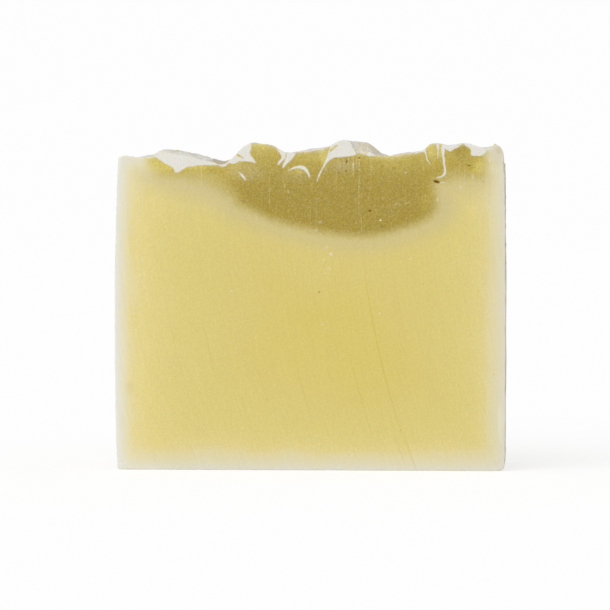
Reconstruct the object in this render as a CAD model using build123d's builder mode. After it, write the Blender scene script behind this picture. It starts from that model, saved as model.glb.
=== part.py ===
"""A bar of handmade soap, one slice of a loaf that was poured into a lined box mould.

The slice stands on the side that lay on the mould's floor.  X runs across the loaf, from one
mould wall to the other, Y runs through the slice, from the front cut to the back cut, and Z is
up, so the top is the open side of the loaf, where a spoon pulled the thick batter into folds.
The whole bar is one casting: the three batters set together, so it is one solid.
All sizes are in millimetres.
"""

import os

from build123d import *

# The slice as the mould and the cutting wire leave it.
width = 80.0  # across the loaf, at the walls' widest place
depth = 25.0  # through the slice, from cut to cut
fill_height = 64.0  # from the mould's floor to the level of the batter, before it was folded up
widest_height = 32.0  # where the soft liner bellied out furthest

brim_over_fill = 10.0  # the mould's own walls go on above the fill level, past any fold

# How far each wall has come in from that widest place, at its foot and at the mould's brim.
left_foot_in = 0.5
left_brim_in = 1.35
right_foot_in = 0.15
right_brim_in = 0.5

# The mould liner's corners, along the foot of each wall.
left_foot_radius = 0.7
right_foot_radius = 1.4

# The folded top, as lines across the loaf at five places through the slice.  A place is a share
# of the depth, counted from the front cut.  Each point is its share of the half width, counted
# from the middle, and its height over the fill level in millimetres.
fold_lines = {
    0.0: [
        (-1.01, -3.5), (-0.985, -0.9), (-0.973, 0.05), (-0.955, 0.35), (-0.90, 0.0), (-0.86, -0.15),
        (-0.815, 0.0), (-0.76, 0.55), (-0.715, 0.75), (-0.672, 0.5), (-0.58, -0.4), (-0.49, -1.15),
        (-0.452, -1.55), (-0.43, -1.35), (-0.402, -0.55), (-0.355, 1.4), (-0.325, 2.5),
        (-0.30, 2.9), (-0.242, 2.75), (-0.202, 2.55), (-0.168, 1.9), (-0.131, 1.05),
        (-0.095, 0.8), (-0.035, 1.05), (0.038, 1.35), (0.083, 1.8), (0.129, 2.85),
        (0.165, 3.45), (0.198, 3.45), (0.213, 2.9), (0.226, 1.65), (0.246, 0.8), (0.278, 0.7),
        (0.308, 1.0), (0.338, 0.35), (0.38, 0.2), (0.44, 0.25), (0.50, 0.7), (0.558, 1.0),
        (0.583, 1.35), (0.603, 2.35), (0.624, 2.8), (0.675, 2.65), (0.746, 2.35), (0.788, 2.8),
        (0.828, 2.5), (0.87, 1.95), (0.905, 1.5), (0.935, 2.0), (0.957, 2.4), (0.978, 1.7),
        (0.989, 0.0), (1.0, -4.1),
    ],
    0.25: [
        (-1.01, -3.5), (-0.983, -0.6), (-0.95, 0.1), (-0.86, -0.15), (-0.78, 1.35), (-0.70, 1.6),
        (-0.60, 0.75), (-0.50, -0.4), (-0.42, -0.6), (-0.36, 0.6), (-0.28, 2.2), (-0.20, 1.6),
        (-0.10, 0.9), (0.0, 1.75), (0.10, 2.2), (0.18, 3.2), (0.25, 3.1), (0.31, 1.9),
        (0.38, 0.3), (0.47, 0.75), (0.55, 1.05), (0.62, 1.9), (0.70, 2.0), (0.78, 2.2),
        (0.86, 1.6), (0.93, 2.1), (0.972, 1.2), (0.992, -1.5), (1.01, -5.0),
    ],
    0.5: [
        (-1.03, -3.0), (-0.97, -0.4), (-0.88, 0.1), (-0.78, 1.1), (-0.66, 1.2), (-0.55, 0.3),
        (-0.44, -0.8), (-0.34, 0.4), (-0.24, 1.7), (-0.13, 0.7), (0.0, 1.2), (0.12, 1.9),
        (0.21, 2.9), (0.29, 2.4), (0.38, 0.6), (0.50, 0.1), (0.60, 1.2), (0.70, 1.7),
        (0.80, 1.4), (0.90, 1.5), (0.96, 0.9), (0.99, -1.5), (1.02, -5.0),
    ],
    0.75: [
        (-1.03, -3.0), (-0.96, -0.2), (-0.85, 0.7), (-0.72, 1.3), (-0.60, 0.5), (-0.48, -1.0),
        (-0.36, -0.2), (-0.24, 1.2), (-0.12, 0.6), (0.0, 0.8), (0.12, 1.2), (0.24, 2.2),
        (0.34, 0.8), (0.46, -0.2), (0.58, 0.6), (0.70, 1.8), (0.82, 1.5), (0.92, 0.8),
        (0.985, -1.0), (1.03, -4.0),
    ],
    1.0: [
        (-1.03, -3.0), (-0.96, 0.0), (-0.86, 1.1), (-0.74, 1.0), (-0.62, -0.1), (-0.50, -1.3),
        (-0.38, -0.5), (-0.26, 1.1), (-0.15, 0.9), (-0.04, 0.6), (0.08, 0.5), (0.20, 1.3),
        (0.31, 1.7), (0.42, 0.1), (0.54, -0.2), (0.66, 1.0), (0.78, 1.9), (0.90, 0.9),
        (0.98, -0.8), (1.03, -3.0),
    ],
}

# Air that was folded in and cut open by the wire.  A pinhole is placed like a fold's point, by
# its share of the half width and its height over the fill level, and has a radius.
front_pinholes = [
    (0.191, -1.0, 0.26), (0.187, -2.9, 0.24), (0.255, -0.3, 0.22), (0.309, -11.0, 0.26),
    (0.812, -1.8, 0.26), (0.05, -27.6, 0.22),
]
back_pinholes = [
    (-0.54, -5.8, 0.28), (-0.30, -3.0, 0.3), (0.11, -13.9, 0.24), (0.465, -3.7, 0.26),
]

# A longer gap between two folds, on the front cut.
gap_place = (0.647, -5.0)
gap_length = 1.7
gap_height = 0.5
gap_slope = -12.0  # degrees
gap_depth = 1.2

half_width = width / 2
front_y = -depth / 2
mould_height = fill_height + brim_over_fill


def across_the_loaf(place):
    """The plane that stands at a share of the depth, with its sketches' X and Y as X and Z."""
    return Plane.XZ.offset(-(front_y + place * depth))


# What the mould's floor and walls shape: a block whose ends are the two cuts.
with BuildPart() as cast_block:
    with BuildSketch(across_the_loaf(1.0)):
        with BuildLine():
            floor = Line((-half_width + left_foot_in, 0), (half_width - right_foot_in, 0))
            right_brim = (half_width - right_brim_in, mould_height)
            left_brim = (-half_width + left_brim_in, mould_height)
            TangentArc((half_width, widest_height), floor @ 1, tangent=(0, -1))
            TangentArc((half_width, widest_height), right_brim, tangent=(0, 1))
            TangentArc((-half_width, widest_height), floor @ 0, tangent=(0, -1))
            TangentArc((-half_width, widest_height), left_brim, tangent=(0, 1))
            Line(right_brim, left_brim)
        make_face()
    extrude(amount=depth)
    long_foot_edges = cast_block.edges().filter_by(Axis.Y).group_by(Axis.Z)[0].sort_by(Axis.X)
    fillet(long_foot_edges[0], left_foot_radius)
    fillet(long_foot_edges[-1], right_foot_radius)

# The room under the folded top, wider than the mould, so that only its top face is left.
with BuildPart() as under_the_folds:
    for place, points in fold_lines.items():
        with BuildSketch(across_the_loaf(place)):
            with BuildLine():
                folds = Spline(*[(share * half_width, fill_height + up) for share, up in points])
                Polyline(
                    folds @ 1,
                    ((folds @ 1).X, -fill_height),
                    ((folds @ 0).X, -fill_height),
                    folds @ 0,
                )
            make_face()
    loft()

with BuildPart() as soap_bar:
    add(cast_block.part)
    add(under_the_folds.part, mode=Mode.INTERSECT)
    for cut_y, pinholes in ((front_y, front_pinholes), (-front_y, back_pinholes)):
        for share, up, radius in pinholes:
            with Locations((share * half_width, cut_y, fill_height + up)):
                Sphere(radius, mode=Mode.SUBTRACT)
    gap_share, gap_up = gap_place
    with BuildSketch(across_the_loaf(0.0)) as gap_mouth:
        with Locations(Location((gap_share * half_width, fill_height + gap_up, 0), gap_slope)):
            Ellipse(gap_length / 2, gap_height / 2)
    extrude(amount=-gap_depth, mode=Mode.SUBTRACT)

soap_bar.part.label = "soap_bar"
os.makedirs("parts", exist_ok=True)
export_step(soap_bar.part, "parts/soap_bar.step")
box = soap_bar.part.bounding_box()
print("soap_bar", soap_bar.part.is_valid, round(soap_bar.part.volume), box.min, box.max)
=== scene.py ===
"""A bar of handmade soap, standing on its moulded foot on a pale floor.

The bar is one slice of a loaf.  Yellow batter was poured into a lined box mould, olive and then
ivory batter were spooned on and pulled into folds, and the set loaf was cut by wire.
Sizes are in millimetres up to the place where a mesh is made, and metres from there.
"""

import math

import bmesh
import bpy
import numpy as np
from mathutils import Matrix, Vector, noise


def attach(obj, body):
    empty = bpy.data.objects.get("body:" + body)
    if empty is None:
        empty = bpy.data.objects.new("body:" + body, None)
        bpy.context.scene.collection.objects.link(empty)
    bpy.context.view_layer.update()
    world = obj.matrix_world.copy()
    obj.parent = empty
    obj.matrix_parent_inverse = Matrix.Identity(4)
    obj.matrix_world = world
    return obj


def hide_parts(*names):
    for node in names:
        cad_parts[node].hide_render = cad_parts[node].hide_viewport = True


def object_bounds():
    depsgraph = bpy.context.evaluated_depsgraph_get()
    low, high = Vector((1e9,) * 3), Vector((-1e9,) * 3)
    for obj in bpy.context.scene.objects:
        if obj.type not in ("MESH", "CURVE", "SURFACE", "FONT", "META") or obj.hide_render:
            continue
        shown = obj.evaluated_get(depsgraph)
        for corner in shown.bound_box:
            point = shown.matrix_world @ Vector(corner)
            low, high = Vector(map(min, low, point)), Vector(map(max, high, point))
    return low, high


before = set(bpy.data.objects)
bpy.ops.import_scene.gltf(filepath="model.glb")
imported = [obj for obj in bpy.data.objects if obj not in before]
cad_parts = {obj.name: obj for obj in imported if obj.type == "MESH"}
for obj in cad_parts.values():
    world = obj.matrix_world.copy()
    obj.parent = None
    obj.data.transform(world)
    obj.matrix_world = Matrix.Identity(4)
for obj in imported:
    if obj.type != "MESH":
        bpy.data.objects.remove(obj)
solid_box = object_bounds()

# ------------------------------------------------------------------ the cast slice
# The mould's liner shaped the foot and the two bellied walls, a spoon folded the open top, and
# the cutting wire left the two flat faces.  The slice follows the solid's own outline, place by
# place through its depth, and is laid out again as one fine closed skin.

MM = 0.001
front_y = solid_box[0].y / MM
back_y = solid_box[1].y / MM

columns = 250  # across a cut face
fine_row = 0.3  # rows up a cut face, in the marbled upper part
coarse_row = 1.5  # and in the plain yellow below it
marbled_from = 42.0
foot_rounding = 1.6
depth_rows = 38  # through the slice, between its rounded edges
edge_steps = 4  # round each edge that the wire left
edge_radius = 0.17
stray_crumb = 0.5  # how far one dark crumb stands above the right end of the front top edge


def row_shares():
    """How far up the walls each row of the skin lies, as shares of the whole."""
    heights = [0.0]
    while heights[-1] < 65.0:
        up = heights[-1]
        easing = min(1.0, max(0.0, up - foot_rounding) / 5, max(0.0, marbled_from - up) / 7)
        heights.append(up + fine_row + (coarse_row - fine_row) * easing)
    return np.array(heights) / heights[-1]


shares_up = row_shares()
rows = len(shares_up) - 1
shares_across = np.linspace(0.0, 1.0, columns + 1)

solid = bmesh.new()
solid.from_mesh(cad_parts["soap_bar"].data)
bmesh.ops.remove_doubles(solid, verts=solid.verts, dist=1e-7)


def outline_at(y):
    """The solid's outline across a plane at y, as (x, z) points, once round against the clock."""
    cut = solid.copy()
    everything = cut.verts[:] + cut.edges[:] + cut.faces[:]
    found = bmesh.ops.bisect_plane(
        cut, geom=everything, dist=1e-9, plane_co=(0, y * MM, 0), plane_no=(0, 1, 0)
    )
    edges = {part for part in found["geom_cut"] if isinstance(part, bmesh.types.BMEdge)}
    longest = []
    while edges:
        here = edges.pop().verts[0]
        line = [here]
        onward = next((edge for edge in here.link_edges if edge in edges), None)
        while onward:
            edges.remove(onward)
            here = onward.other_vert(here)
            line.append(here)
            onward = next((edge for edge in here.link_edges if edge in edges), None)
        longest = max(longest, line, key=len)
    points = np.array([(vert.co.x, vert.co.z) for vert in longest]) / MM
    cut.free()
    x, z = points.T
    if np.sum(x * np.roll(z, -1) - z * np.roll(x, -1)) < 0:
        points = points[::-1]
    return points


def spread(points, shares, wave_weight=1.0):
    """Points spread along a line at the given shares of its length."""
    steps = np.diff(points, axis=0) * (1.0, wave_weight)
    lengths = np.concatenate([[0.0], np.cumsum(np.hypot(*steps.T))])
    places = shares * lengths[-1]
    return np.stack([np.interp(places, lengths, points[:, axis]) for axis in (0, 1)], axis=1)


def soften(line, times):
    """The line with its small steps eased out and its two ends kept."""
    line = line.copy()
    for _ in range(times):
        line[1:-1] = 0.5 * line[1:-1] + 0.25 * (line[:-2] + line[2:])
    return line


def four_sides(y):
    """The outline at y as foot, right wall, top and left wall, from left to right and upwards."""
    points = outline_at(y)
    corners = [np.argmax(points @ np.array(way)) for way in ((-1, -1), (1, -1), (1, 1), (-1, 1))]
    sides = []
    for start, end in zip(corners, corners[1:] + corners[:1]):
        count = (end - start) % len(points)
        sides.append(np.take(points, range(start, start + count + 1), axis=0, mode="wrap"))
    foot, right, top, left = sides
    foot = spread(foot, shares_across)
    right = spread(right, shares_up)
    top = soften(spread(top[::-1], shares_across, 0.6), 3)
    left = spread(left[::-1], shares_up)
    return foot, right, top, left


just_inside = 0.03
crowding = 0.82  # how far the rows crowd towards the cuts, from 0, evenly spaced, to 1
past_edge = 2.2 * edge_radius  # where the rows start behind each rounded edge
swing = np.linspace(-crowding, crowding, depth_rows) * math.pi / 2
row_reach = (back_y - front_y) / 2 - past_edge
depths = (front_y + back_y) / 2 + row_reach * np.sin(swing) / math.sin(crowding * math.pi / 2)
cut_sides = [four_sides(front_y + just_inside), four_sides(back_y - just_inside)]
inner_sides = [four_sides(y) for y in depths]


def ring_of(sides):
    """The four sides as one closed ring, against the clock from the left end of the foot."""
    foot, right, top, left = sides
    return np.concatenate([foot[:-1], right[:-1], top[:0:-1], left[:0:-1]])


ring_size = 2 * (columns + rows)
on_top = np.zeros(ring_size)
on_top[columns + rows : 2 * columns + rows] = 1.0
corner_reach = 5
for _ in range(corner_reach):
    on_top = 0.5 * on_top + 0.25 * (np.roll(on_top, 1) + np.roll(on_top, -1))


def inward(ring):
    """The unit direction from each point of a ring into the bar."""
    along = np.roll(ring, -1, axis=0) - np.roll(ring, 1, axis=0)
    along /= np.hypot(*along.T)[:, None]
    return np.stack([-along[:, 1], along[:, 0]], axis=1)


def lumps(x, y, z, size, seed):
    """Smooth random height, about -1 to 1, with lumps of that size."""
    place = Vector((x / size + seed, y / size, z / size))
    return noise.noise(place, noise_basis="PERLIN_ORIGINAL") * 1.6


def spooned_folds(x, y):
    """The fine creases a spoon left in the top, drawn out along the loaf and never straight."""
    swayed = x + 2.2 * lumps(x, y, 0.0, 9.0, 40.0)
    crease = 1 - 1.8 * abs(lumps(swayed, y * 0.28, 0.0, 2.7, 44.0))
    fine_crease = 1 - 1.8 * abs(lumps(swayed, y * 0.4, 0.0, 1.2, 48.0))
    return 0.17 * crease + 0.06 * fine_crease - 0.13


def skin_relief(x, y, z, top):
    """How far the uncut skin stands in or out: spooned folds on top, the liner's ripple below."""
    inland = min(1.0, (y - front_y) / 5.0)
    crusted = 0.07 * lumps(x, y, z, 2.6, 3.0) + 0.05 * lumps(x, y, z, 0.8, 8.0)
    rippled = 0.05 * lumps(x, y, z, 9.0, 21.0) + 0.02 * lumps(x, y, z, 1.3, 30.0)
    crest = 0.45 * math.exp(-(((x - 11.7) / 1.6) ** 2)) - 0.3 * math.exp(-(((x - 15.3) / 1.3) ** 2))
    crest *= math.exp(-(((y - front_y - 8.0) / 4.5) ** 2))
    return top * (crusted + crest + inland * spooned_folds(x, y)) + (1 - top) * rippled


for edge, y_edge, step_in in ((0, front_y, 1.0), (1, back_y, -1.0)):
    ring = ring_of(cut_sides[edge])
    normal = inward(ring)
    wear = [lumps(x, y_edge, z, 1.7, 5.0) + lumps(x, y_edge, z, 0.5, 6.0) for x, z in ring]
    radius = edge_radius * (1.0 + 0.55 * np.array(wear))
    relief = np.array([skin_relief(x, y_edge, z, t) for (x, z), t in zip(ring, on_top)])
    relief += [0.07 * lumps(x, y_edge, z, 0.9, 12.0) for x, z in ring]
    if edge == 0:
        relief += stray_crumb * np.exp(-(((ring[:, 0] - 37.75) / 0.32) ** 2)) * on_top
    worn_rows = []
    for step in range(edge_steps):
        share = step / (edge_steps - 1)
        turn = share * math.pi / 2
        inset = radius * (1 - math.sin(turn)) - relief
        y = y_edge + step_in * radius * (1 - math.cos(turn))
        moved = ring + normal * inset[:, None]
        worn_rows.append((np.column_stack([moved[:, 0], y, moved[:, 1]]), 1 - share))
    if edge == 0:
        rings = worn_rows
        for y, sides in zip(depths, inner_sides):
            ring = ring_of(sides)
            relief = np.array([skin_relief(x, y, z, t) for (x, z), t in zip(ring, on_top)])
            moved = ring - inward(ring) * relief[:, None]
            rings.append((np.column_stack([moved[:, 0], np.full(ring_size, y), moved[:, 1]]), 0.0))
    else:
        rings += worn_rows[::-1]


easing_rounds = 60  # so that squares don't fold over beside the ragged edge


def fill_cut(ring):
    """The rows and columns of points over a cut face, drawn out from the ring round it."""
    foot = np.append(ring[:columns], ring[columns : columns + 1], axis=0)
    right = ring[columns : columns + rows + 1]
    top = ring[columns + rows : 2 * columns + rows + 1][::-1]
    left = np.append(ring[2 * columns + rows :], ring[:1], axis=0)[::-1]
    up = shares_up[:, None, None]
    across = shares_across[None, :, None]
    ruled = (1 - up) * foot[None] + up * top[None]
    ruled = ruled + (1 - across) * left[:, None] + across * right[:, None]
    corners = (1 - up) * ((1 - across) * foot[0] + across * foot[-1])
    corners = corners + up * ((1 - across) * top[0] + across * top[-1])
    grid = ruled - corners
    for _ in range(easing_rounds):
        beside = grid[1:-1, :-2] + grid[1:-1, 2:]
        grid[1:-1, 1:-1] = (grid[:-2, 1:-1] + grid[2:, 1:-1] + beside) / 4
    return grid


points = [ring for ring, _ in rings]
cut_shares = [np.full(ring_size, share) for _, share in rings]
top_shares = [on_top * (1 - share) for _, share in rings]
quads = []
for first in range(0, (len(rings) - 1) * ring_size, ring_size):
    here = first + np.arange(ring_size)
    beside = first + (np.arange(ring_size) + 1) % ring_size
    quads.append(np.column_stack([here, here + ring_size, beside + ring_size, beside]))

next_free = len(rings) * ring_size
for first, ring, facing in ((0, rings[0][0], 1), ((len(rings) - 1) * ring_size, rings[-1][0], -1)):
    grid = np.zeros((rows + 1, columns + 1), int)
    grid[0, :] = first + np.arange(columns + 1)
    grid[:, -1] = first + columns + np.arange(rows + 1)
    grid[-1, ::-1] = first + columns + rows + np.arange(columns + 1)
    grid[1:, 0] = first + 2 * columns + rows + np.arange(rows)[::-1]
    inside = fill_cut(ring)[1:-1, 1:-1].reshape(-1, 3)
    inside[:, 1] = front_y if facing > 0 else back_y
    grid[1:-1, 1:-1] = next_free + np.arange(len(inside)).reshape(rows - 1, columns - 1)
    next_free += len(inside)
    points.append(inside)
    cut_shares.append(np.ones(len(inside)))
    top_shares.append(np.zeros(len(inside)))
    face = [grid[:-1, :-1], grid[:-1, 1:], grid[1:, 1:], grid[1:, :-1]]
    face = np.stack(face, axis=-1).reshape(-1, 4)
    quads.append(face if facing > 0 else face[:, ::-1])

mesh = bpy.data.meshes.new("soap_skin")
mesh.from_pydata(np.concatenate(points).tolist(), [], np.concatenate(quads).tolist())
mesh.attributes.new("cut", "FLOAT", "POINT").data.foreach_set("value", np.concatenate(cut_shares))
mesh.attributes.new("top", "FLOAT", "POINT").data.foreach_set("value", np.concatenate(top_shares))

# ------------------------------------------------------------------ the marbling
# Three batters of one recipe: yellow below, an olive one spooned over it that sank in a bowl at
# the middle, and ivory pulled through the top of it in folds.  Each outline is the edge of one
# fold where the wire cut it, and the folds change shape through the slice.

open_top = 71.0  # outlines that run out of the top are closed up here

front_olive = [
    (-31.8, 65.5), (-33.1, 64.6), (-33.5, 63.5), (-32.8, 62.3), (-31.4, 61.2), (-29.5, 60.5),
    (-25.2, 60.1), (-22.3, 59.8), (-20.6, 59.3), (-18.6, 58.2), (-16.9, 57.0), (-15.5, 55.8),
    (-14.4, 54.3), (-11.3, 52.9), (-8.3, 51.4), (-3.7, 50.1), (1.5, 48.9), (6.6, 48.1),
    (10.7, 47.9), (15.4, 48.4), (19.6, 49.6), (23.3, 51.0), (25.3, 52.7), (25.8, 54.8),
    (25.5, 57.2), (25.5, 58.9), (26.8, 59.3), (28.0, 59.7), (29.3, 60.3), (32.3, 60.1),
    (34.4, 60.0), (35.5, 60.9), (35.9, 62.6), (35.9, 65.2), (36.2, open_top), (0.0, open_top + 6.0),
    (-27.0, open_top),
]
front_ivory = [
    [(-33.4, 66.0), (-32.4, 64.5), (-31.2, 63.8), (-29.7, 62.8), (-28.2, 62.0), (-27.7, 61.5),
     (-27.5, 60.9), (-26.7, 61.0), (-25.9, 61.5), (-25.3, 61.9), (-24.5, 62.1), (-22.1, 62.3),
     (-20.6, 62.35), (-18.9, 62.4), (-17.8, 62.1), (-17.2, 62.9), (-17.5, open_top),
     (-33.4, open_top)],
    [(-17.3, 62.7), (-16.6, 62.8), (-15.7, 62.6), (-14.9, 62.8), (-14.3, 63.1), (-12.6, 63.1),
     (-11.6, 62.9), (-10.9, 62.7), (-11.4, 63.6), (-12.0, 64.4), (-12.1, 65.1), (-11.9, 65.9),
     (-11.9, 66.7), (-12.2, 67.2), (-14.0, open_top), (-17.0, open_top)],
    [(-6.9, open_top), (-6.8, 66.4), (-6.2, 65.0), (-5.7, 64.2), (-5.9, 63.5), (-6.3, 63.1),
     (-6.5, 62.4), (-6.3, 62.4), (-5.6, 63.0), (-5.0, 63.8), (-4.8, 64.7), (-4.75, 65.2),
     (-4.65, open_top)],
    [(-4.75, open_top), (-4.6, 65.2), (-4.65, 64.4), (-5.0, 63.4), (-5.4, 62.4), (-5.5, 61.75),
     (-5.25, 61.85), (-4.7, 62.5), (-3.8, 63.3), (-3.1, 64.2), (-2.8, 65.0), (-2.6, 65.9),
     (-2.5, open_top)],
    [(-4.3, 61.2), (-4.0, 61.5), (-3.4, 61.85), (-2.6, 62.15), (-1.8, 62.25), (-1.0, 62.1),
     (-0.5, 61.6), (-0.15, 61.0), (0.05, 60.4), (0.1, 59.75), (-0.2, 60.1), (-0.6, 60.8),
     (-1.1, 61.3), (-1.8, 61.6), (-2.6, 61.7), (-3.4, 61.5)],
    [(-14.5, 60.95), (-14.1, 60.8), (-13.5, 60.3), (-13.1, 59.75), (-13.0, 59.3), (-13.2, 59.3),
     (-13.7, 59.85), (-14.2, 60.45)],
    [(1.5, 58.95), (1.65, 59.15), (2.0, 59.9), (2.3, 60.6), (2.6, 61.2), (3.1, 62.1), (3.8, 63.0),
     (4.6, 63.6), (5.5, 63.9), (7.0, 64.0), (8.6, 64.2), (9.4, 64.4), (9.6, 64.7), (9.2, 65.3),
     (8.9, 66.1), (8.5, 67.0), (8.2, 68.0), (8.0, open_top), (4.3, open_top), (4.2, 66.3),
     (3.9, 65.1), (3.6, 64.1), (3.2, 63.1), (2.6, 61.8), (2.0, 60.7), (1.7, 59.8)],
    [(11.4, 64.45), (12.0, 64.9), (12.5, 65.3), (13.1, 65.0), (13.6, 64.4), (12.5, 64.1)],
    [(21.3, 65.1), (22.3, 64.9), (23.3, 64.95), (23.65, 64.5), (23.8, 63.7), (24.2, 62.95),
     (24.6, 62.5), (24.65, 62.6), (24.3, 63.1), (24.0, 63.8), (23.85, 64.6), (23.75, 65.4),
     (23.5, 66.2), (22.0, open_top), (20.8, open_top)],
    [(25.7, open_top), (25.8, 66.7), (26.0, 65.8), (26.1, 65.0), (26.1, 64.2), (26.05, 63.5),
     (26.2, 64.2), (26.3, 65.0), (26.4, 65.8), (26.4, 66.5), (26.4, open_top)],
    [(27.0, open_top), (27.0, 66.6), (26.85, 65.7), (27.0, 64.6), (27.15, 63.6), (27.25, 62.4),
     (27.45, 61.6), (27.45, 60.9), (27.15, 60.35), (26.6, 60.0), (25.9, 59.8), (25.95, 59.65),
     (26.7, 59.75), (27.35, 60.05), (27.8, 60.6), (27.85, 61.4), (27.65, 62.3), (27.6, 63.3),
     (27.5, 64.4), (27.65, 65.5), (28.0, 65.4), (28.6, 65.1), (29.4, 65.5), (30.3, 66.0),
     (31.2, 66.65), (32.0, 66.1), (32.8, 65.5), (32.9, 64.6), (33.1, 64.2), (35.0, 64.2),
     (35.6, 64.7), (36.0, 65.5), (36.4, open_top)],
]
front_flecks = [
    [(-15.1, 64.9), (-14.7, 64.7), (-14.0, 64.2), (-13.3, 63.75), (-14.1, 63.9), (-14.8, 64.2)],
    [(4.2, 65.0), (4.7, 65.3), (5.3, 65.9), (5.8, 66.3), (5.5, 66.4), (4.9, 66.0), (4.3, 65.5)],
]

back_olive = [
    (-35.6, open_top), (-35.2, 63.5), (-34.0, 60.7), (-29.5, 58.6), (-23.0, 57.2), (-17.0, 54.9),
    (-11.0, 51.6), (-5.0, 49.8), (2.0, 49.6), (9.0, 51.2), (15.0, 54.0), (20.0, 56.6),
    (25.5, 57.7), (30.5, 59.0), (33.6, 61.1), (34.6, 63.6), (34.9, open_top),
]
back_ivory = [
    [(-33.5, open_top), (-33.0, 65.0), (-31.0, 64.2), (-29.3, 63.2), (-28.0, 61.9), (-27.2, 60.2),
     (-26.9, 58.8), (-26.4, 60.4), (-25.2, 61.9), (-23.0, 62.9), (-20.0, 63.4), (-17.5, 63.9),
     (-16.5, open_top)],
    [(-13.2, open_top), (-13.0, 64.5), (-12.2, 62.6), (-10.8, 60.8), (-9.3, 59.6), (-8.9, 59.7),
     (-10.1, 61.0), (-11.2, 62.8), (-11.7, 64.6), (-11.6, open_top)],
    [(-5.0, 61.9), (-3.4, 61.9), (-1.6, 61.2), (-0.2, 59.9), (0.5, 58.4), (0.1, 60.3), (-1.2, 61.9),
     (-3.2, 62.5)],
    [(3.0, open_top), (3.4, 64.6), (4.6, 63.4), (6.6, 62.9), (8.8, 63.1), (10.6, 62.6),
     (11.9, 61.4), (12.6, 59.6), (13.3, 58.6), (13.1, 60.2), (12.9, 61.9), (12.4, 63.4),
     (12.6, 64.8), (13.2, open_top)],
    [(19.6, open_top), (19.9, 64.2), (20.6, 62.4), (21.3, 61.2), (21.5, 61.3), (21.1, 62.7),
     (20.8, 64.3), (20.8, open_top)],
    [(22.3, open_top), (22.5, 64.7), (23.1, 63.4), (24.3, 62.2), (24.6, 62.3), (24.0, 63.7),
     (23.9, open_top)],
    [(28.9, open_top), (29.1, 64.9), (30.4, 64.0), (32.6, 63.8), (34.6, 64.3), (35.6, 65.2),
     (36.4, open_top)],
]
back_flecks = [
    [(6.0, 64.6), (7.2, 64.2), (8.8, 64.3), (7.5, 64.9)],
    [(-24.5, 64.2), (-23.0, 63.9), (-21.2, 64.2), (-23.0, 64.6)],
]


def drawn_smooth(outline, pieces=5):
    """A closed outline with a smooth curve through its points."""
    ends = np.array(outline)
    before, after, beyond = np.roll(ends, 1, 0), np.roll(ends, -1, 0), np.roll(ends, -2, 0)
    curve = []
    for share in np.arange(pieces) / pieces:
        pull = (after - before) * share
        bend = (2 * before - 5 * ends + 4 * after - beyond) * share**2
        twist = (-before + 3 * ends - 3 * after + beyond) * share**3
        curve.append(ends + 0.5 * (pull + bend + twist))
    return np.stack(curve, axis=1).reshape(-1, 2)


def depth_inside(x, z, outline, reach):
    """How deep each place lies inside an outline, less than 0 outside, and no more than reach."""
    start = drawn_smooth(outline)
    along = np.roll(start, -1, axis=0) - start
    result = np.full(len(x), -reach)
    low, high = start.min(0) - reach, start.max(0) + reach
    near = np.flatnonzero((x > low[0]) & (x < high[0]) & (z > low[1]) & (z < high[1]))
    for group in np.array_split(near, max(1, len(near) // 4000)):
        px, pz = x[group, None] - start[:, 0], z[group, None] - start[:, 1]
        share = np.clip((px * along[:, 0] + pz * along[:, 1]) / (along**2).sum(1), 0, 1)
        gap = np.hypot(px - share * along[:, 0], pz - share * along[:, 1]).min(axis=1)
        crosses = (pz < 0) != (pz - along[:, 1] < 0)
        side = px - along[:, 0] * pz / np.where(along[:, 1] == 0, 1e-9, along[:, 1])
        inside = (crosses & (side < 0)).sum(axis=1) % 2 == 1
        result[group] = np.clip(np.where(inside, gap, -gap), -reach, reach)
    return result


def ivory_at(x, z, folds, flecks):
    """How deep each place lies in ivory batter, where flecks of yellow lie in the folds."""
    deepest = np.max([depth_inside(x, z, fold, 2.0) for fold in folds], axis=0)
    spared = np.max([depth_inside(x, z, fleck, 2.0) for fleck in flecks], axis=0)
    return np.minimum(deepest, -spared)


# ------------------------------------------------------------------ what the wire opened
# Air that was folded into the batter and cut open: round pinholes, and one long gap where two
# folds never closed.  The skin is made finer at each, and pressed in.

# Each has its middle, half its length and half its height, its slope and its depth.
air_holes = [
    (7.65, 63.0, 0.15, 0.36, -20.0, 0.35), (7.5, 61.1, 0.18, 0.18, 0.0, 0.3),
    (10.2, 63.8, 0.2, 0.17, 0.0, 0.3), (6.0, 60.8, 0.13, 0.13, 0.0, 0.2),
    (12.3, 53.0, 0.24, 0.2, 10.0, 0.35), (32.5, 62.2, 0.36, 0.15, 5.0, 0.35),
    (32.5, 60.2, 0.18, 0.1, 0.0, 0.2), (24.9, 62.8, 0.15, 0.13, 0.0, 0.25),
    (25.95, 58.9, 0.7, 0.26, -18.0, 1.0),
]

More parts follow.
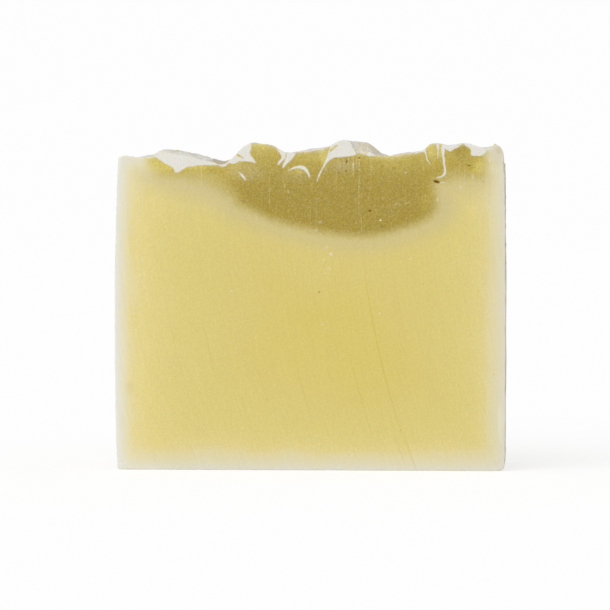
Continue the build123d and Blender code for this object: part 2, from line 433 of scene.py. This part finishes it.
slab = bmesh.new()
slab.from_mesh(mesh)
fold_band = 0.3
hole_band = 0.45
upper = [f for f in slab.faces if abs(f.calc_center_median().y - front_y) < 0.01]
upper = [f for f in upper if f.calc_center_median().z > 52.0]
middles = np.array([f.calc_center_median() for f in upper])
to_fold = np.abs(ivory_at(middles[:, 0], middles[:, 2], front_ivory, front_flecks))
to_hole = np.full(len(upper), 9.0)
for across, up, half_long, half_high, slope, deep in air_holes:
    away = np.hypot(middles[:, 0] - across, middles[:, 2] - up) - max(half_long, half_high)
    to_hole = np.minimum(to_hole, away)
chosen = [f for f, a, b in zip(upper, to_fold, to_hole) if a < fold_band or b < hole_band]
edges = list({edge for face in chosen for edge in face.edges})
bmesh.ops.subdivide_edges(slab, edges=edges, cuts=1, use_grid_fill=True)
slab.verts.ensure_lookup_table()
for vert in slab.verts:
    if abs(vert.co.y - front_y) > 0.01:
        continue
    for across, up, half_long, half_high, slope, deep in air_holes:
        dx, dz = vert.co.x - across, vert.co.z - up
        if abs(dx) + abs(dz) > 2.5:
            continue
        turn = math.radians(slope)
        along = (dx * math.cos(turn) + dz * math.sin(turn)) / half_long
        over = (dz * math.cos(turn) - dx * math.sin(turn)) / half_high
        out = math.hypot(along, over)
        if out < 1.25:
            vert.co.y += deep * min(1.0, (1.25 - out) / 0.9) ** 1.3
slab.to_mesh(mesh)
slab.free()

# ------------------------------------------------------------------ the marbling laid in the skin
# Every point of the skin is told how deep it lies in each batter, and how far it is from the
# mould, where the soap dried and paled.

count = len(mesh.vertices)
spot = np.empty(count * 3)
mesh.vertices.foreach_get("co", spot)
x, y, z = spot.reshape(-1, 3).T
through = np.clip((y - front_y) / (back_y - front_y), 0, 1)
on_cut = np.empty(count)
mesh.attributes["cut"].data.foreach_get("value", on_cut)


def through_slice(front, back):
    """A field that turns from its front form to its back form through the slice."""
    return (1 - through) * front + through * back


def laid_in(name, values):
    """Writes one value for each point of the skin."""
    mesh.attributes.new(name, "FLOAT", "POINT").data.foreach_set("value", values.astype(np.float32))


olive_reach = 9.0
ivory_field = through_slice(
    ivory_at(x, z, front_ivory, front_flecks), ivory_at(x, z, back_ivory, back_flecks)
)
olive_field = through_slice(
    depth_inside(x, z, front_olive, olive_reach), depth_inside(x, z, back_olive, olive_reach)
)
laid_in("ivory", ivory_field)


def patch(middle_x, middle_z, reach_x, reach_z):
    """A soft round patch seen from the front, 1 at its middle."""
    return np.exp(-(((x - middle_x) / reach_x) ** 2) - ((z - middle_z) / reach_z) ** 2)


# The olive's edge is softest on its left slope and under its thin right end.
haze = 0.9 * patch(-18.0, 58.0, 6.0, 4.0) + 0.9 * patch(29.0, 60.0, 3.0, 2.5)
laid_in("olive_soft", olive_field / (1.0 + haze * (1 - through)))

# Its colour crept on through the yellow, furthest beside the two shoulders of the bowl.
shoulders = patch(-21.0, 56.5, 7.0, 5.0) + patch(28.5, 54.5, 4.5, 4.5)
bleed_reach = 6.0 + 2.8 * np.clip(shoulders * (1 - through), 0, 1)
bleed = np.clip((olive_field + bleed_reach) / (bleed_reach + 0.4), 0, 1)
laid_in("bleed", bleed * bleed * (3 - 2 * bleed) * (0.86 + 0.14 * np.clip(shoulders, 0, 1)))

# The distance to the mould and to the open top.  The left side dried more slowly than the rest,
# so its distances are stretched to match the way that its colour changes.
foot, right, top, left = cut_sides[0]
to_left = x - np.interp(z, left[:, 1], left[:, 0])
left_places = (0, 1.7, 3.2, 5.1, 9.3, 17.4, 40)
left_matches = (0, 1.5, 3.9, 4.8, 7.1, 10.5, 34)
from_left = np.interp(to_left, left_places, left_matches)
from_right = np.interp(z, right[:, 1], right[:, 0]) - x
from_foot = z
from_top = np.interp(x, top[:, 0], top[:, 1]) - z
corner_ease = 1.5
nearest = sum(np.exp(-gap / corner_ease) for gap in (from_left, from_right, from_foot, from_top))
laid_in("brink", from_top)
ashen = 0.85 * np.exp(-to_left / 0.9) + 0.3 * np.exp(-from_foot / 0.8)
laid_in("ashen", np.clip(ashen, 0, 0.85) * on_cut)
from_skin = -corner_ease * np.log(nearest)

# Patches of the yellow that are deeper or paler than their distance to the mould would make them.
riper = [(10.0, 16.0, 17.0, 11.0, 9.0), (22.5, 36.0, 5.0, 9.0, 2.5), (-22.0, 38.0, 6.0, 8.0, 2.0)]
paler = [(-23.0, 55.0, 7.0, 4.0, -2.6), (31.0, 55.0, 5.0, 4.0, -2.4), (4.0, 38.0, 13.0, 9.0, -6.0)]
ripeness = sum(part * patch(*outline) for *outline, part in riper + paler)
laid_in("rim", from_skin + ripeness * np.clip((from_skin - 3.0) / 7.0, 0, 1))


# How mustard the olive is, from 0, deep olive, to 1: paler upwards and to the left, and brightest
# in the small patches where it was stirred thin.  Each has its middle, its reach and its part.
mustard_patches = [
    (-31.0, 62.9, 2.4, 1.5, 1.0), (-19.5, 61.6, 3.5, 1.2, -0.12), (-10.0, 66.5, 2.2, 1.6, 0.35),
    (-0.5, 64.2, 2.0, 1.2, 0.2), (2.9, 64.6, 0.9, 2.2, 0.55), (7.5, 62.3, 4.0, 2.0, -0.22),
    (5.0, 65.7, 1.0, 0.8, 0.4), (-1.9, 61.0, 1.3, 0.7, 0.35), (16.0, 64.2, 5.5, 0.8, 0.3),
    (24.9, 65.6, 1.0, 1.9, 0.6), (26.6, 65.4, 0.4, 1.6, 0.6), (34.7, 62.0, 1.1, 1.3, 0.6),
    (31.0, 65.0, 1.6, 1.5, -0.35), (-23.5, 61.9, 4.5, 0.5, 0.3), (24.0, 55.5, 1.6, 3.5, 0.3),
    (16.5, 63.0, 3.0, 1.0, 0.12), (33.6, 60.9, 1.8, 0.8, 0.3),
]


def eased(value, low, high):
    """0 below low, 1 above high, and smooth between."""
    share = np.clip((value - low) / (high - low), 0, 1)
    return share * share * (3 - 2 * share)


tone = 0.12 + 0.5 * eased(z, 56.0, 66.0) + 0.3 * eased(-x, 10.0, 19.0)
for *outline, part in mustard_patches:
    tone += part * (1 - through) * patch(*outline)
laid_in("tone", np.clip(tone, 0, 1))
# How far each point lies pressed into an opened air hole, where painted shade goes.
laid_in("hollow", np.clip((y - front_y - 0.12) / 0.5, 0, 1) * (through < 0.08) * on_cut)

mesh.transform(Matrix.Scale(MM, 4))
mesh.shade_smooth()
soap = bpy.data.objects.new("soap", mesh)
bpy.context.collection.objects.link(soap)
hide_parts("soap_bar")
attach(soap, "root")

# ------------------------------------------------------------------ the soap's finish
# Cured soap is a firm waxy solid.  The wire left a faint drag across the cut faces, the walls
# and the foot took the liner's smooth surface, and soda ash dusted the open top pale.

finish = bpy.data.materials.new("cured_soap")
finish.use_nodes = True
nodes = finish.node_tree.nodes
links = finish.node_tree.links
nodes.clear()

studio_gain = 1.19  # how much brighter the studio light makes a facing surface than its pigment


def seen(red, green, blue):
    """A pigment that looks like this colour, 0 to 255, in the studio light."""
    shares = [(part / 255 + 0.055) / 1.055 for part in (red, green, blue)]
    return (*[share**2.4 / studio_gain for share in shares], 1.0)


def node(kind, inputs, output=0, **settings):
    """Adds a node, sets or links its inputs, and gives one of its outputs."""
    made = nodes.new("ShaderNode" + kind)
    for name, value in settings.items():
        setattr(made, name, value)
    for socket, value in inputs.items():
        if isinstance(value, bpy.types.NodeSocket):
            links.new(value, made.inputs[socket])
        else:
            made.inputs[socket].default_value = value
    return made.outputs[output]


def calc(operation, *values):
    return node("Math", dict(enumerate(values)), operation=operation)


def between(value, low, high, start=0.0, end=1.0):
    """Eases from start to end as the value goes from low to high."""
    inputs = {0: value, 1: low, 2: high, 3: start, 4: end}
    return node("MapRange", inputs, interpolation_type="SMOOTHSTEP")


def laid_over(share, under, over):
    """One colour laid over another by a share from 0 to 1."""
    return node("Mix", {0: share, 6: under, 7: over}, output=2, data_type="RGBA")


def stained(share, under, tint):
    """A colour multiplied by a tint, by a share from 0 to 1."""
    inputs = {0: share, 6: under, 7: tint}
    return node("Mix", inputs, output=2, data_type="RGBA", blend_type="MULTIPLY")


def field(name):
    return node("Attribute", {}, output=2, attribute_name=name)


def ramp(value, stops):
    """A colour that runs through the listed stops as the value rises from 0 to 1."""
    made = nodes.new("ShaderNodeValToRGB")
    while len(made.color_ramp.elements) < len(stops):
        made.color_ramp.elements.new(0.5)
    for stop, (position, colour) in zip(made.color_ramp.elements, stops):
        stop.position = position
        stop.color = seen(*colour)
    links.new(value, made.inputs[0])
    return made.outputs[0]


place = node("VectorMath", {0: node("TexCoord", {}, output=3), 3: 1 / MM}, operation="SCALE")
across = node("SeparateXYZ", {0: place}, output=0)
along = node("SeparateXYZ", {0: place}, output=1)
up = node("SeparateXYZ", {0: place}, output=2)


def grain(size, detail=2.0, stretch=(1, 1, 1), where=None):
    """Cloudy random grain of that size, in the mean 0.5."""
    shape = [1 / (size * part) for part in stretch]
    spread_out = node("VectorMath", {0: where or place, 1: shape}, operation="MULTIPLY")
    return node("TexNoise", {"Vector": spread_out, "Scale": 1.0, "Detail": detail})


cut_face = field("cut")
top_skin = field("top")
rim = field("rim")
tone = field("tone")
ivory = field("ivory")
hollow = field("hollow")

# The yellow batter: deepest in the middle, and paler towards the mould, where it dried first.
rim_reach = 32.0
yellow_by_rim = [
    (0.0, (222, 217, 199)), (0.6, (222, 216, 193)), (1.4, (223, 215, 180)),
    (2.6, (224, 213, 169)), (3.4, (224, 212, 160)), (4.3, (224, 209, 147)),
    (5.6, (223, 208, 138)), (7.0, (221, 206, 133)), (11.0, (219, 204, 126)),
    (20.0, (218, 201, 121)), (rim_reach, (217, 198, 107)),
]
cloud = calc("MULTIPLY", calc("SUBTRACT", grain(7.0, 3.0), 0.5), between(rim, 0.0, 6.0, 1.0, 4.0))
clouded_rim = calc("DIVIDE", calc("ADD", rim, cloud), rim_reach)
body = ramp(clouded_rim, [(reach / rim_reach, colour) for reach, colour in yellow_by_rim])

# Its paste is finely grained, paler and more golden by turns.
golden = between(grain(0.42, 2.0), 0.36, 0.64, 0.0, 1.0)
golden = calc("MULTIPLY", golden, between(rim, 1.0, 6.0, 0.3, 1.0))
body = stained(golden, body, (0.995, 0.972, 0.87, 1.0))

# The yellow is greyer for a few millimetres round the olive, which bled into it.
bleed = calc("MULTIPLY", field("bleed"), between(rim, 1.0, 4.0))
body = laid_over(bleed, body, seen(205, 191, 138))

# The olive batter, with a mottled soft edge, mustard where it was stirred thin.
mottle = calc("SUBTRACT", grain(1.1, 3.0), 0.5)
fine_mottle = calc("SUBTRACT", grain(0.35, 1.0), 0.5)
blur = calc("ADD", calc("MULTIPLY", mottle, 1.1), calc("MULTIPLY", fine_mottle, 0.6))
olive_edge = calc("ADD", field("olive_soft"), blur)
tone_blur = calc("ADD", calc("MULTIPLY", mottle, 0.35), calc("MULTIPLY", fine_mottle, 0.3))
olive_by_tone = [
    (0.0, (163, 140, 46)), (0.3, (173, 151, 60)), (0.6, (190, 169, 78)), (1.0, (210, 194, 108)),
]
olive_share = between(olive_edge, -1.35, 1.6)
batter = laid_over(olive_share, body, ramp(calc("ADD", tone, tone_blur), olive_by_tone))

# Along its edge, where the olive is thin, the yellow under it shows through and makes it golden.
edge_gold = calc("MULTIPLY", between(olive_edge, -2.0, 0.3), between(olive_edge, 4.0, 1.2))
batter = stained(calc("MULTIPLY", edge_gold, 0.7), batter, (1.0, 0.985, 0.74, 1.0))

# Ash dusts the last millimetre below the open top, and less of it at the right corner.
dusting = between(field("brink"), 0.9, 0.1, 0.0, 0.42)
dusting = calc("MULTIPLY", dusting, between(grain(0.8, 2.0), 0.3, 0.6, 0.4, 1.0))
dusting = calc("MULTIPLY", dusting, between(across, 36.0, 38.0, 1.0, 0.4))
batter = laid_over(dusting, batter, seen(224, 217, 190))

# Ash whitened the first millimetre beside the left wall, and a little of the foot.
batter = laid_over(field("ashen"), batter, seen(225, 226, 219))

# The ivory folds, with a crisp edge.
ivory_edge = calc("ADD", ivory, calc("MULTIPLY", calc("SUBTRACT", grain(0.6, 2.0), 0.5), 0.22))
ivory_share = between(ivory_edge, -0.16, 0.17)
ivory_colour = laid_over(grain(1.6, 2.0), seen(229, 227, 219), seen(225, 222, 211))
batter = laid_over(ivory_share, batter, ivory_colour)

# The uncut top: soda ash over ivory, with wisps of olive and mustard drawn out by the spoon.
sway = calc("MULTIPLY", calc("SUBTRACT", grain(9.0, 2.0), 0.5), 7.0)
drawn_out = {0: calc("ADD", across, sway), 1: calc("MULTIPLY", along, 0.3), 2: up}
spoon_place = node("CombineXYZ", drawn_out)
thin_ash = between(grain(1.4, 4.0, where=spoon_place), 0.44, 0.62)
ash = laid_over(thin_ash, seen(230, 229, 222), seen(221, 215, 200))
inland = between(along, front_y + 1.0, front_y + 5.0, 0.15, 0.6)
olive_wisp = between(grain(2.1, 4.0, stretch=(1, 0.8, 1), where=spoon_place), 0.575, 0.66)
ash = laid_over(calc("MULTIPLY", olive_wisp, inland), ash, seen(188, 172, 112))
mustard_wisp = between(grain(1.7, 3.0, stretch=(0.9, 1, 1), where=spoon_place), 0.34, 0.26)
ash = laid_over(calc("MULTIPLY", mustard_wisp, inland), ash, seen(216, 199, 134))

# The crest behind the right half of the front edge is bare cream, and a hollow to its left gets a
# patch of painted shade.
swayed = calc("ADD", across, calc("MULTIPLY", sway, 0.6))
crest = calc("MULTIPLY", between(swayed, 8.5, 10.5), between(swayed, 21.0, 18.0))
crest = calc("MULTIPLY", crest, between(along, front_y + 11.0, front_y + 6.0, 0.2, 1.0))
crest_streaks = between(grain(0.9, 3.0, where=spoon_place), 0.4, 0.62, 0.95, 0.6)
ash = laid_over(calc("MULTIPLY", crest, crest_streaks), ash, seen(224, 214, 187))
# Painted shade: a grey-brown patch in the hollow to the left of the crest.
half_wide, half_deep = 2.4, 6.0
hollow_place = {0: place, 1: (1 / half_wide, 1 / half_deep, 0)}
hollow_place[2] = (18.4 / half_wide, -(front_y + 3.5) / half_deep, 0)
hollow_offset = node("VectorMath", hollow_place, operation="MULTIPLY_ADD")
hollow_shade_reach = node("VectorMath", {0: hollow_offset}, output=1, operation="LENGTH")
hollow_shade_reach = calc("ADD", hollow_shade_reach, calc("MULTIPLY", calc("SUBTRACT", grain(1.5, 3.0), 0.5), 1.2))
ash = laid_over(between(hollow_shade_reach, 1.1, 0.6, 0.0, 0.75), ash, seen(176, 161, 120))
surface = laid_over(top_skin, batter, ash)

# The walls and the foot took the liner's smooth surface and dried tan. Their tan is partly painted
# shade, and the right wall, turned away from the lamp, is painted darkest as shade.
wall_share = calc("SUBTRACT", 1.0, calc("MAXIMUM", cut_face, top_skin))
wall_share = calc("MULTIPLY", wall_share, between(along, front_y + 0.2, front_y + 1.2))
wall_share = calc("MULTIPLY", wall_share, between(up, 61.5, 60.0, 0.25, 1.0))
wall_stain = between(grain(6.0, 4.0), 0.3, 0.7)
left_wall = laid_over(wall_stain, seen(202, 182, 140), seen(190, 168, 126))
# Painted shade: the right wall is browner than the left, on the side the lamp doesn't reach.
right_wall_painted_shade = laid_over(wall_stain, seen(180, 159, 122), seen(168, 146, 110))
wall_tan_and_painted_shade = laid_over(between(across, -20.0, 20.0), left_wall, right_wall_painted_shade)
surface = laid_over(calc("MULTIPLY", wall_share, 0.9), surface, wall_tan_and_painted_shade)

# The wire's drag: straight down through the folds, then swinging aside as the wire was pulled.
drag_from = 48.0
below = calc("MAXIMUM", calc("SUBTRACT", drag_from, up), 0.0)
swung_aside = calc("MULTIPLY", below, calc("ADD", calc("MULTIPLY", below, 0.003), 0.085))
track = calc("SUBTRACT", across, swung_aside)
track_place = node("CombineXYZ", {0: track, 1: along, 2: calc("MULTIPLY", up, 0.05)})
track_place_up = node("CombineXYZ", {0: track, 2: up})
drag = calc("SUBTRACT", grain(0.4, 2.0, where=track_place), 0.5)
drag_shade = calc("ADD", 1.0, calc("MULTIPLY", drag, calc("MULTIPLY", cut_face, 0.08)))
surface = node("VectorMath", {0: surface, 3: drag_shade}, operation="SCALE")


def dabs(where, listed):
    """How strongly a place is touched by soft oval dabs: middle, half width, half height, part."""
    total = 0.0
    for middle_x, middle_z, half_wide, half_high, part in listed:
        scaled = {0: where, 1: (1 / half_wide, 0, 1 / half_high)}
        scaled[2] = (-middle_x / half_wide, 0, -middle_z / half_high)
        offset = node("VectorMath", scaled, operation="MULTIPLY_ADD")
        away = node("VectorMath", {0: offset}, output=1, operation="LENGTH")
        total = calc("ADD", between(away, 1.15, 0.35, 0.0, part), total)
    return calc("MULTIPLY", total, between(along, front_y + 0.5, front_y + 0.2))


# Pale and dark lines that grit and air left behind the wire, all on the front cut face.
pale_lines = [
    (6.3, 62.6, 0.14, 1.3, 0.3), (7.0, 62.2, 0.14, 1.8, 0.3), (7.9, 62.8, 0.14, 1.5, 0.4),
    (8.9, 62.2, 0.2, 2.2, 0.5), (9.6, 62.8, 0.13, 1.2, 0.3), (10.2, 61.5, 0.2, 3.0, 0.4),
    (11.9, 62.3, 0.14, 2.0, 0.35), (12.7, 61.8, 0.14, 2.0, 0.25), (-22.1, 60.4, 0.16, 2.4, 0.45),
    (-25.7, 58.6, 0.14, 2.6, 0.2), (-8.2, 57.6, 0.14, 4.5, 0.3), (-8.2, 54.9, 0.18, 1.1, 0.3),
    (-9.7, 56.5, 0.12, 4.5, 0.18), (-10.9, 51.9, 0.16, 1.5, 0.4), (1.4, 53.5, 0.15, 4.5, 0.16),
    (0.2, 52.5, 0.13, 4.0, 0.18), (5.5, 60.5, 0.13, 4.0, 0.2), (7.3, 61.8, 0.12, 2.8, 0.16),
    (9.0, 62.2, 0.2, 2.6, 0.4), (10.1, 57.5, 0.16, 7.5, 0.26), (10.6, 49.5, 0.16, 3.4, 0.3),
    (12.4, 62.0, 0.13, 2.4, 0.2), (12.05, 58.2, 0.18, 0.8, 0.3), (30.6, 62.5, 0.25, 4.0, 0.25),
    (31.6, 60.8, 0.16, 3.0, 0.2), (36.0, 59.0, 0.3, 4.5, 0.3), (37.3, 57.5, 0.25, 5.5, 0.35),
    (38.2, 53.0, 0.9, 9.0, 0.35), (-13.1, 45.0, 0.14, 5.0, 0.2), (-6.2, 44.0, 0.14, 4.0, 0.16),
]
dark_lines = [
    (10.5, 24.5, 0.17, 25.0, 0.5), (-31.0, 28.0, 0.14, 9.5, 0.3), (-24.2, 25.0, 0.14, 8.5, 0.28),
    (-7.0, 16.5, 0.15, 7.0, 0.32), (-0.4, 4.7, 0.15, 4.0, 0.32), (4.4, 13.5, 0.15, 12.5, 0.34),
    (11.2, 58.1, 0.16, 1.4, 0.3), (16.5, 30.0, 0.13, 12.0, 0.2), (-15.0, 20.0, 0.13, 11.0, 0.2),
    (10.9, 3.0, 0.17, 9.0, 0.45), (9.0, 5.0, 0.16, 6.0, 0.3),
]
broken = between(grain(0.55, 3.0, stretch=(0.7, 1.0, 1.3)), 0.36, 0.64)
pale_share = calc("MULTIPLY", dabs(track_place_up, pale_lines), broken)
surface = laid_over(pale_share, surface, seen(226, 219, 180))
surface = stained(dabs(track_place_up, dark_lines), surface, (0.86, 0.80, 0.52, 1.0))

# Ashy patches, soda crystals, dry crumbs and the scuffed right edge show pale. Grit and the stained
# right corner show dark, and the fine pits get painted shade.
pale_specks = [
    (-13.0, 61.0, 4.6, 2.3, 0.11), (6.8, 62.2, 3.8, 1.7, 0.12), (-3.0, 60.0, 4.0, 1.6, 0.06),
    (17.6, 54.3, 0.35, 0.16, 0.3), (18.0, 54.5, 0.35, 0.15, 0.3), (19.6, 54.5, 0.4, 0.14, 0.3),
    (20.1, 54.65, 0.4, 0.14, 0.35), (14.5, 51.1, 0.24, 0.2, 1.0), (-15.9, 36.6, 0.25, 0.2, 0.7),
    (-11.0, 27.1, 0.2, 0.2, 0.6), (-8.3, 27.0, 0.2, 0.18, 0.6), (2.6, 29.9, 0.2, 0.2, 0.6),
    (20.6, 43.2, 0.25, 0.2, 0.6), (14.4, 32.1, 0.2, 0.2, 0.6), (4.4, 44.2, 0.35, 0.45, 0.7),
    (3.6, 45.6, 0.3, 0.25, 0.45), (2.9, 43.0, 0.25, 0.35, 0.45), (4.1, 41.2, 0.3, 0.25, 0.5),
    (3.2, 40.3, 0.2, 0.25, 0.4), (-5.0, 58.1, 0.2, 0.55, 0.3), (-4.3, 56.9, 0.28, 0.35, 0.35),
    (2.2, 50.7, 0.6, 0.5, 0.22), (1.4, 49.1, 0.5, 0.3, 0.28), (3.4, 61.6, 0.16, 0.5, 0.35),
    (19.6, 60.8, 0.35, 0.28, 0.35), (15.1, 55.5, 0.3, 0.2, 0.28), (19.8, 51.5, 0.22, 0.2, 0.4),
    (26.1, 55.3, 0.3, 0.45, 0.35), (33.3, 59.9, 0.4, 0.6, 0.3), (30.8, 57.8, 0.3, 0.4, 0.35),
    (27.1, 58.75, 0.75, 0.15, 0.55), (36.7, 63.3, 0.25, 0.6, 0.55), (37.3, 63.4, 0.2, 0.7, 0.5),
    (37.3, 61.6, 0.2, 0.8, 0.5), (38.1, 61.2, 0.2, 0.8, 0.45), (25.3, 2.1, 0.18, 0.8, 0.3),
    (30.6, 1.9, 0.2, 0.9, 0.4), (33.0, 0.9, 1.0, 0.15, 0.3), (36.3, 1.9, 0.15, 1.0, 0.28),
    (38.9, 9.9, 0.7, 4.6, 0.6),
]
# Dark specks of grit, and painted shade in the opened air holes.
grit_and_pit_shade_specks = [
    (2.0, 36.4, 0.26, 0.24, 0.9), (18.6, 8.3, 0.2, 0.2, 0.4), (-8.5, 14.4, 0.2, 0.2, 0.4),
    (37.6, 19.7, 0.2, 0.2, 0.4), (9.5, 28.7, 0.2, 0.2, 0.4), (35.4, 59.0, 0.35, 0.3, 0.3),
    (-36.9, 16.8, 1.0, 1.6, 0.12), (-29.6, 49.2, 0.18, 0.16, 0.5), (0.5, 54.8, 0.24, 0.2, 0.5),
    (17.5, 51.8, 0.22, 0.2, 0.5), (22.2, 57.0, 0.2, 0.15, 0.5), (22.1, 62.5, 0.17, 0.17, 0.5),
    (19.3, 49.8, 0.7, 0.45, 0.25), (14.8, 49.8, 0.6, 0.45, 0.3), (-13.5, 55.0, 0.5, 0.4, 0.3),
    (37.75, 66.9, 0.5, 0.5, 0.9), (15.3, 44.2, 0.22, 0.2, 0.4), (23.2, 38.1, 0.22, 0.2, 0.4),
    (38.6, 65.3, 0.9, 0.9, 0.22), (38.0, 64.0, 1.9, 2.6, 0.12), (7.6, 63.0, 0.22, 0.5, 0.9),
    (7.5, 61.1, 0.24, 0.22, 0.8), (10.25, 63.75, 0.25, 0.2, 0.9), (12.4, 53.0, 0.34, 0.28, 1.0),
    (11.9, 59.3, 0.16, 0.5, 0.6), (6.3, 60.8, 0.16, 0.16, 0.6), (11.6, 55.6, 0.2, 0.2, 0.5),
    (32.6, 62.2, 0.35, 0.16, 0.7),
]
surface = laid_over(dabs(place, pale_specks), surface, seen(228, 224, 200))
surface = stained(dabs(place, grit_and_pit_shade_specks), surface, (0.62, 0.48, 0.16, 1.0))

# Fine grain in the paste, painted shade in the fine pits of the olive, and painted shade inside the
# opened air.
swung = node("VectorRotate", {"Vector": place, "Axis": (0, 1, 0), "Angle": 0.9})
speckle = calc("SUBTRACT", grain(0.34, 2.0), 0.5)
speckle_part = between(olive_edge, -1.0, 1.0, 0.22, 0.8)
speckle_part = calc("MULTIPLY", speckle_part, between(ivory_share, 0.2, 0.9, 1.0, 0.25))
rim_calm = calc("MAXIMUM", between(rim, 0.5, 6.0, 0.3, 1.0), olive_share)
speckle_part = calc("MULTIPLY", speckle_part, rim_calm)
speckle_shade = calc("ADD", 1.0, calc("MULTIPLY", speckle, speckle_part))
surface = node("VectorMath", {0: surface, 3: speckle_shade}, operation="SCALE")
bare_olive = calc("MULTIPLY", cut_face, calc("SUBTRACT", 1.0, ivory_share))
pale_grain = between(grain(0.3, 1.0, where=swung), 0.5, 0.8, 0.0, 0.4)
pale_grain = calc("MULTIPLY", calc("MULTIPLY", pale_grain, olive_share), bare_olive)
surface = laid_over(pale_grain, surface, seen(202, 188, 134))
crystals = node("TexVoronoi", {"Vector": place, "Scale": 0.62})
crystal_share = calc("MULTIPLY", between(crystals, 0.2, 0.06, 0.0, 0.2), olive_share)
surface = laid_over(calc("MULTIPLY", crystal_share, cut_face), surface, seen(214, 202, 150))
# Painted shade: small dark dots for pits in the olive.
pits = node("TexVoronoi", {"Vector": spoon_place, "Scale": 0.83})
painted_pit_shade = calc("MULTIPLY", between(pits, 0.2, 0.06, 0.0, 0.35), olive_share)
surface = stained(painted_pit_shade, surface, (0.8, 0.75, 0.5, 1.0))
# Painted shade inside the air holes that the skin is pressed into.
surface = stained(hollow, surface, (0.85, 0.52, 0.08, 1.0))

# Painted light: the left end of the slice is a little paler than the rest, on the side the lamp
# lights.
left_painted_light = between(across, -40.0, -24.0, 1.07, 1.0)
surface = node("VectorMath", {0: surface, 3: left_painted_light}, operation="SCALE")

# The finest relief: the wire's drag, the grain, and the crust on the open top.
crust = calc("SUBTRACT", grain(0.7, 4.0), 0.5)
crust = calc("MULTIPLY", crust, between(top_skin, 0.1, 0.9, 0.0, 2.6))
relief = calc("ADD", calc("MULTIPLY", speckle, 0.35), mottle)
relief = calc("ADD", calc("ADD", calc("MULTIPLY", drag, 0.5), relief), crust)
raised = node("Bump", {"Strength": 0.35, "Distance": 0.00012, "Height": relief})
roughness = calc("ADD", 0.5, calc("MULTIPLY", grain(1.8, 3.0), 0.2))
skin = nodes.new("ShaderNodeBsdfPrincipled")
links.new(surface, skin.inputs["Base Color"])
links.new(roughness, skin.inputs["Roughness"])
links.new(raised, skin.inputs["Normal"])
skin.inputs["Specular IOR Level"].default_value = 0.35
skin.inputs["Subsurface Weight"].default_value = 0.12
skin.inputs["Subsurface Radius"].default_value = (1.0, 0.8, 0.35)
skin.inputs["Subsurface Scale"].default_value = 0.0006
shown = nodes.new("ShaderNodeOutputMaterial")
links.new(skin.outputs[0], shown.inputs["Surface"])
soap.data.materials.append(finish)

# ------------------------------------------------------------------ the floor
# A broad, plain, pale light table of matt acrylic, flat under the bar and past the edge of every
# view.  Most of its brightness comes from below, so the bar's shadow on it stays faint.

floor_reach = 6.0
table_top = bpy.data.meshes.new("floor")
corners = [(-floor_reach, -floor_reach), (floor_reach, -floor_reach), (floor_reach, floor_reach)]
corners.append((-floor_reach, floor_reach))
table_top.from_pydata([(*corner, 0.0) for corner in corners], [], [(0, 1, 2, 3)])
floor = bpy.data.objects.new("floor", table_top)
bpy.context.collection.objects.link(floor)
table_finish = bpy.data.materials.new("lit_acrylic")
table_finish.use_nodes = True
table_skin = table_finish.node_tree.nodes["Principled BSDF"]
table_skin.inputs["Base Color"].default_value = (0.27, 0.27, 0.27, 1.0)
table_skin.inputs["Emission Color"].default_value = (1.0, 1.0, 1.0, 1.0)
table_skin.inputs["Emission Strength"].default_value = 0.71
table_skin.inputs["Roughness"].default_value = 0.9
table_skin.inputs["Specular IOR Level"].default_value = 0.0
table_top.materials.append(table_finish)

# ------------------------------------------------------------------ the light
# Soft studio light: a wide diffused lamp above and to the left of the front, in a white room.

lamp = bpy.data.lights.new("softbox", "SUN")
lamp.energy = 1.8
lamp.angle = math.radians(60)
softbox = bpy.data.objects.new("softbox", lamp)
to_lamp = Vector((-0.35, -0.68, 0.7))
softbox.rotation_euler = to_lamp.to_track_quat("Z", "Y").to_euler()
bpy.context.collection.objects.link(softbox)

room = bpy.data.worlds.new("white_room")
bpy.context.scene.world = room
room.use_nodes = True
room_nodes = room.node_tree.nodes
room_links = room.node_tree.links
walls = room_nodes["Background"]
walls.inputs["Color"].default_value = (1.0, 1.0, 1.0, 1.0)
walls.inputs["Strength"].default_value = 0.638
bright = room_nodes.new("ShaderNodeBackground")
bright.inputs["Color"].default_value = (1.0, 1.0, 1.0, 1.0)
bright.inputs["Strength"].default_value = 0.985
sight = room_nodes.new("ShaderNodeLightPath")
either = room_nodes.new("ShaderNodeMixShader")
room_links.new(sight.outputs["Is Camera Ray"], either.inputs[0])
room_links.new(walls.outputs[0], either.inputs[1])
room_links.new(bright.outputs[0], either.inputs[2])
room_links.new(either.outputs[0], room_nodes["World Output"].inputs["Surface"])
bpy.context.scene.view_settings.view_transform = "Standard"

# ------------------------------------------------------------------ the camera
# A long lens a little above the bar's middle and slightly to the right of its front.

aim = Vector((-0.9, front_y, 33.8)) * MM
distance = 0.7
turned = math.radians(3.65)
raised_by = math.radians(1.3)
seen_width = 0.1245
eye = bpy.data.cameras.new("camera")
eye.sensor_width = 36.0
eye.lens = eye.sensor_width * distance / seen_width
eye.clip_start = 0.01
eye.clip_end = 50.0
camera = bpy.data.objects.new("camera", eye)
sideways = math.cos(raised_by)
back_off = Vector((math.sin(turned) * sideways, -math.cos(turned) * sideways, math.sin(raised_by)))
camera.location = aim + back_off * distance
camera.rotation_euler = back_off.to_track_quat("Z", "Y").to_euler()
bpy.context.collection.objects.link(camera)
bpy.context.scene.camera = camera
